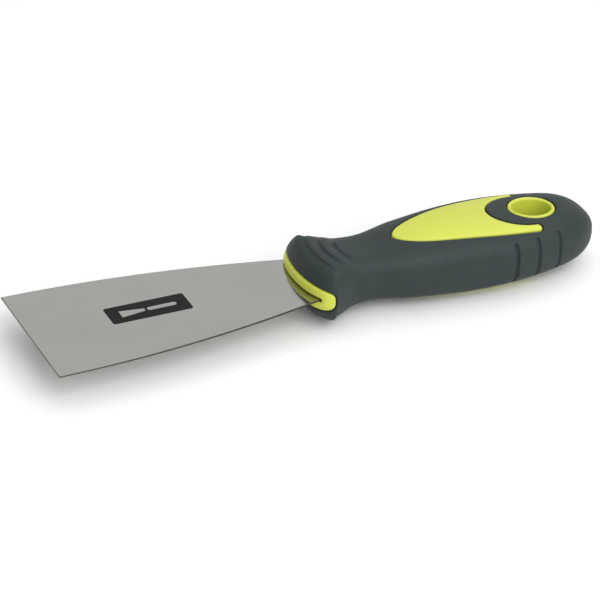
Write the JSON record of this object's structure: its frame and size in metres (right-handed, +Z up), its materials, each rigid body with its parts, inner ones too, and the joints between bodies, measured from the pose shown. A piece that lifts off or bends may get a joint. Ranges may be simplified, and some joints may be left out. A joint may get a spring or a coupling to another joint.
{
  "type": "putty knife",
  "caption": "Flat putty knife: a tapering spring-steel blade with a straight working edge, in a two-component handle with a hang hole.",
  "frame": {"origin": "middle of the knife's length and width, on the surface that the handle lies on, with the blade level", "axes": "+X from the working edge to the tail of the handle, +Y across the blade, +Z up, square to the blade"},
  "size_m": [0.2, 0.05, 0.0232],
  "materials": {
    "spring_steel": "ground and polished, satin",
    "hard_plastic": "moulded, semi-gloss yellow-green",
    "soft_grip": "soft-touch thermoplastic rubber, matte dark grey"
  },
  "bodies": {
    "root": {"blade": "spring_steel", "handle_core": "hard_plastic", "grip_overmould": "soft_grip"}
  },
  "joints": []
}
